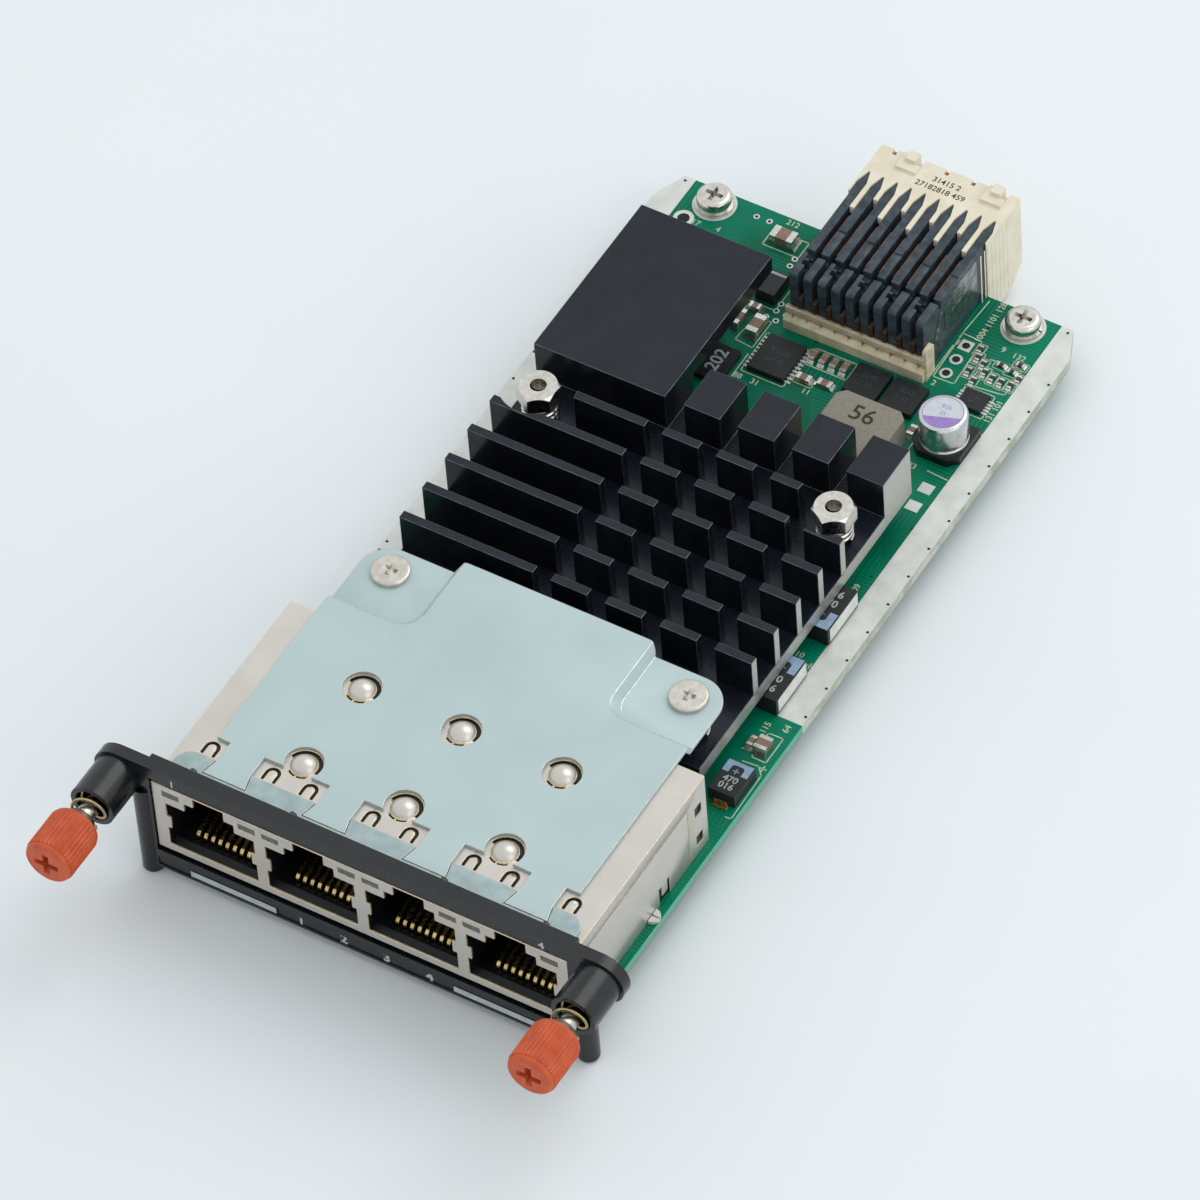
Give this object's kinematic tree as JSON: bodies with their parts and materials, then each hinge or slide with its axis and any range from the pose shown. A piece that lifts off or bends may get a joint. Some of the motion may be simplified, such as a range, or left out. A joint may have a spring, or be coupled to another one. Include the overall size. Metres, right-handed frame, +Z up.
{
  "type": "switch line card",
  "caption": "Network line card: shielded jacks behind a front plate with sprung thumbscrews, a cooled chip, and a board connector at the rear.",
  "frame": {"origin": "middle of the card's footprint, on the surface that its legs and rear spacers stand on", "axes": "+X to the right as seen from the front plate, +Y from the front plate to the rear connector, +Z up"},
  "size_m": [0.0734, 0.1486, 0.0202],
  "materials": {
    "plate_black": "fine textured black finish",
    "zinc_sheet": "zinc plated sheet, satin",
    "nickel_sheet": "nickel plated sheet, satin",
    "steel_bright": "bright plated steel",
    "screw_gold": "yellow passivated steel",
    "knob_red": "moulded, satin",
    "black_plastic": "moulded, matt",
    "contact_gold": "gold plated",
    "light_guide": "clear moulded",
    "sink_black": "black anodised, bright sawn ends",
    "chip_black": "moulded package",
    "thermal_grey": "soft pad",
    "board_green": "green solder mask over tracks",
    "connector_cream": "moulded, satin",
    "wafer_slate": "moulded wafer",
    "copper": "plated copper alloy",
    "inductor_taupe": "pressed powder",
    "can_aluminium": "bright can",
    "ceramic_tan": "sintered ceramic with tinned ends",
    "solder_tin": "tinned"
  },
  "bodies": {
    "root": {"faceplate": "plate_black", "front_bracket": "zinc_sheet", "bracket_screws": "steel_bright", "bracket_inserts": "steel_bright", "jack_shield": "nickel_sheet", "shield_pegs": "solder_tin", "jack_housing": "black_plastic", "jack_contacts": "contact_gold", "indicator_lights": "light_guide", "cover_plate": "zinc_sheet", "cover_screws": "screw_gold", "heat_sink": "sink_black", "sink_fins": "sink_black", "sink_standoffs": "steel_bright", "sink_springs": "steel_bright", "sink_nuts": "steel_bright", "main_chip": "chip_black", "thermal_pad": "thermal_grey", "circuit_board": "board_green", "board_screws": "steel_bright", "spring_washers": "steel_bright", "rear_spacers": "steel_bright", "connector_housing": "connector_cream", "connector_wafers": "wafer_slate", "connector_blades": "copper", "connector_comb": "connector_cream", "connector_tails": "solder_tin", "inductor": "inductor_taupe", "inductor_terminals": "solder_tin", "can_capacitor": "can_aluminium", "can_base": "black_plastic", "power_chips": "chip_black", "controller_chips": "chip_black", "chip_leads": "solder_tin", "power_module": "chip_black", "tantalum_capacitors": "chip_black", "ceramic_capacitors": "ceramic_tan", "resistors": "chip_black", "diode": "chip_black", "footprint_pads": "solder_tin", "left_thumb_spring": "steel_bright", "right_thumb_spring": "steel_bright"},
    "left_collar": {"left_spring_collar": "steel_bright"},
    "left_thumbscrew": {"left_knob": "knob_red", "left_captive_screw": "steel_bright"},
    "right_collar": {"right_spring_collar": "steel_bright"},
    "right_thumbscrew": {"right_knob": "knob_red", "right_captive_screw": "steel_bright"}
  },
  "joints": [
    {"name": "left_press", "type": "slide", "parent": "root", "child": "left_collar", "axis": [0, 1, 0], "range_m": [0, 0.003], "stiffness_N_per_m": 250, "springref_m": -0.004, "deforming": ["left_thumb_spring"]},
    {"name": "left_turn", "type": "hinge", "parent": "left_collar", "child": "left_thumbscrew", "pos_m": [-0.0333, -0.0708, 0.0168], "axis": [0, 1, 0], "continuous": true},
    {"name": "right_press", "type": "slide", "parent": "root", "child": "right_collar", "axis": [0, 1, 0], "range_m": [0, 0.003], "stiffness_N_per_m": 250, "springref_m": -0.004, "deforming": ["right_thumb_spring"]},
    {"name": "right_turn", "type": "hinge", "parent": "right_collar", "child": "right_thumbscrew", "pos_m": [0.0333, -0.0708, 0.0168], "axis": [0, 1, 0], "continuous": true}
  ]
}
